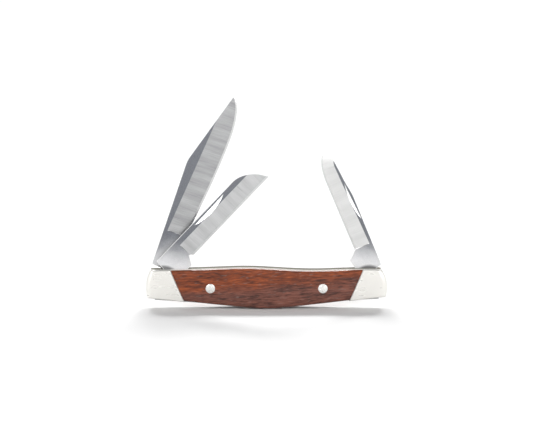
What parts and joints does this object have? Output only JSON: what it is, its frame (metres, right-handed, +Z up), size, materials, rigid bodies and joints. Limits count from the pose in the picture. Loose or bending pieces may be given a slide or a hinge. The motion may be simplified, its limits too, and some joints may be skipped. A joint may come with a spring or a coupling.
{
  "type": "folding whittling knife",
  "caption": "Folding pocket knife for whittling: slip-joint clip, sheepsfoot and spey blades, metal bolsters and rosewood scales, standing on its back with the blades half open.",
  "frame": {"origin": "middle of the handle's length and thickness, at the lowest point of its back, which the knife stands on", "axes": "+X along the handle towards the spey blade, +Z up towards the blade openings, -Y the face that carries the nail nicks of the sheepsfoot and spey blades"},
  "size_m": [0.0814, 0.012, 0.0723],
  "materials": {
    "nickel_silver": "satin polished nickel silver, warm white",
    "rosewood": "oiled reddish brown wood with fine dark pores",
    "liner_metal": "polished on the edge, dull inside the wells",
    "spring_steel": "satin, fine lines along the back",
    "rivet_metal": "polished low domed heads",
    "blade_steel": "fine ground faces with lines across the blade, darker tumbled flats"
  },
  "bodies": {
    "handle": {"front_liner": "liner_metal", "front_centre_liner": "liner_metal", "rear_centre_liner": "liner_metal", "rear_liner": "liner_metal", "front_scale": "rosewood", "rear_scale": "rosewood", "front_left_bolster": "nickel_silver", "front_right_bolster": "nickel_silver", "rear_left_bolster": "nickel_silver", "rear_right_bolster": "nickel_silver", "clip_spring": "spring_steel", "sheepsfoot_spring": "spring_steel", "spey_spring": "spring_steel", "left_pivot_pin": "nickel_silver", "right_pivot_pin": "nickel_silver", "left_rivet": "rivet_metal", "right_rivet": "rivet_metal"},
    "clip": {"clip_blade": "blade_steel"},
    "sheepsfoot": {"sheepsfoot_blade": "blade_steel"},
    "spey": {"spey_blade": "blade_steel"}
  },
  "joints": [
    {"name": "clip_pivot", "type": "hinge", "parent": "handle", "child": "clip", "pos_m": [-0.03475, 0.002, 0.0092], "axis": [0, -1, 0], "range_deg": [-66.15, 108.95], "deforming": ["clip_spring"]},
    {"name": "sheepsfoot_pivot", "type": "hinge", "parent": "handle", "child": "sheepsfoot", "pos_m": [-0.03475, -0.002, 0.0092], "axis": [0, -1, 0], "range_deg": [-45.3, 133.7], "deforming": ["sheepsfoot_spring"]},
    {"name": "spey_pivot", "type": "hinge", "parent": "handle", "child": "spey", "pos_m": [0.03475, 0, 0.0092], "axis": [0, 1, 0], "range_deg": [-63.5, 113], "deforming": ["spey_spring"]}
  ]
}
